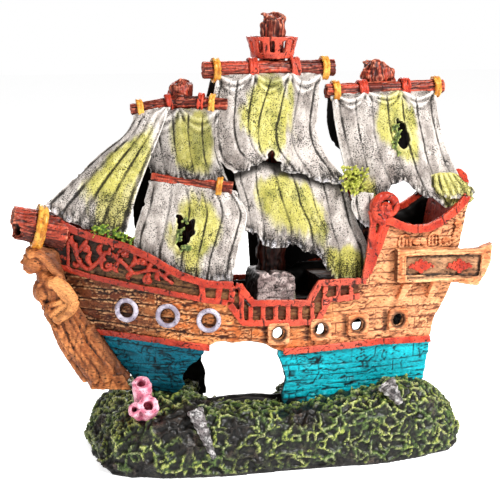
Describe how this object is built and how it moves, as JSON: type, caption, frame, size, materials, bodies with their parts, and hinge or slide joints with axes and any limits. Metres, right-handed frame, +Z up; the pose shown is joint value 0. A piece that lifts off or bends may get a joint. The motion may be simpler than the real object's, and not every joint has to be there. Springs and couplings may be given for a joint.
{
  "type": "shipwreck bubbling aquarium ornament",
  "caption": "Broken three-masted galleon on a rock base, with torn sails, open hull arch and a pull-out air stone behind it that makes it bubble.",
  "frame": {"origin": "centre of the rock base's underside", "axes": "+X towards the stern, -Y the ship's port side, which faces the viewer, +Z up"},
  "size_m": [0.187, 0.0845, 0.174],
  "materials": {
    "rock_resin": "matte",
    "sponge_resin": "matte",
    "shell_resin": "matte",
    "plank_resin": "matte",
    "teal_resin": "matte",
    "cyan_resin": "matte",
    "red_resin": "matte",
    "orange_resin": "matte",
    "silver_resin": "matte",
    "figure_resin": "matte",
    "gold_resin": "matte",
    "mast_resin": "matte",
    "grey_resin": "matte",
    "sail_resin": "matte",
    "dark_sail_resin": "matte",
    "socket_plastic": "matte",
    "air_stone_grit": "matte"
  },
  "bodies": {
    "ornament": {"rock_base": "rock_resin", "keel_timber": "rock_resin", "tube_sponge": "sponge_resin", "auger_shell": "shell_resin", "cone_shell": "shell_resin", "hull_port": "plank_resin", "hull_starboard": "plank_resin", "bottom_bow": "teal_resin", "bottom_stern": "cyan_resin", "wale_port": "red_resin", "wale_starboard": "red_resin", "main_deck": "plank_resin", "forecastle_deck": "plank_resin", "poop_deck": "plank_resin", "poop_bulkhead": "plank_resin", "transom": "plank_resin", "taffrail": "red_resin", "taffrail_knob": "red_resin", "bow_rail_port": "red_resin", "bow_rail_starboard": "red_resin", "waist_rail_port": "red_resin", "waist_rail_starboard": "red_resin", "vine_port": "red_resin", "vine_starboard": "red_resin", "stern_scroll_port": "red_resin", "stern_scroll_starboard": "red_resin", "tracery_port": "orange_resin", "tracery_starboard": "orange_resin", "stern_windows": "orange_resin", "stern_gallery": "orange_resin", "gallery_brackets": "orange_resin", "gallery_crests": "orange_resin", "porthole_rings": "silver_resin", "gun_port_frames": "plank_resin", "figurehead": "figure_resin", "bowsprit": "red_resin", "bowsprit_lashing": "gold_resin", "fore_mast": "mast_resin", "main_mast": "mast_resin", "mizzen_mast": "mast_resin", "mast_block": "grey_resin", "crows_nest": "red_resin", "fore_topsail_yard": "mast_resin", "fore_course_yard": "mast_resin", "main_yard": "mast_resin", "mizzen_yard": "mast_resin", "yard_lashings": "gold_resin", "yard_bands": "red_resin", "jib": "sail_resin", "fore_topsail": "sail_resin", "fore_course": "sail_resin", "main_topsail": "sail_resin", "main_course": "sail_resin", "mizzen_sail": "sail_resin", "fore_sail_starboard": "dark_sail_resin", "main_sail_starboard": "dark_sail_resin", "mizzen_sail_starboard": "dark_sail_resin", "stone_socket": "socket_plastic"},
    "air_stone_unit": {"air_stone": "air_stone_grit", "air_nozzle": "socket_plastic"}
  },
  "joints": [
    {"name": "stone_slide", "type": "slide", "parent": "ornament", "child": "air_stone_unit", "axis": [0, 1, 0], "range_m": [0, 0.04]}
  ]
}
